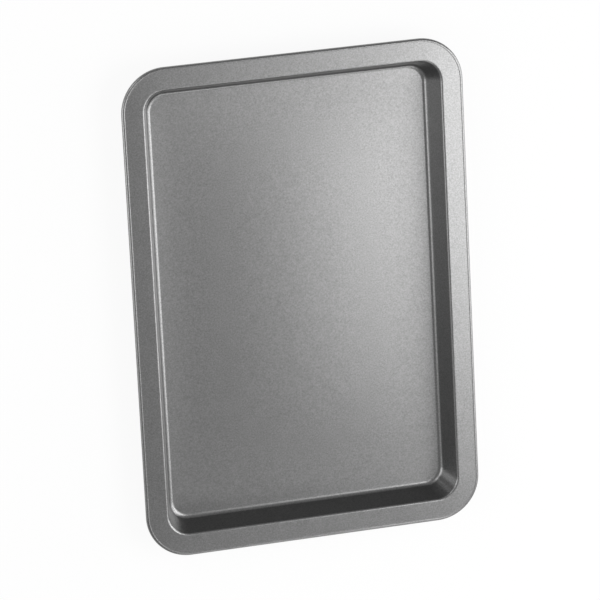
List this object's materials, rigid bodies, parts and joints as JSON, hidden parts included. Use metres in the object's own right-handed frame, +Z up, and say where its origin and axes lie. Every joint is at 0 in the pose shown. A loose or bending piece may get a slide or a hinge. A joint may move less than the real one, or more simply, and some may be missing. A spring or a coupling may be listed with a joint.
{
  "type": "cookie sheet",
  "caption": "Rectangular coated steel baking tray with round corners, a shallow leaning wall, a wide flat rim and a rolled edge that holds a wire.",
  "frame": {"origin": "middle of the flat underside of the floor, where the tray rests", "axes": "+X across the tray, +Y along its length, +Z up out of the dish"},
  "size_m": [0.25, 0.36, 0.02],
  "materials": {
    "coated_steel_back": "satin",
    "nonstick_face": "satin",
    "bare_wire": "satin"
  },
  "bodies": {
    "root": {"pressed_sheet": "coated_steel_back", "nonstick_coating": "nonstick_face", "rim_wire": "bare_wire"}
  },
  "joints": []
}
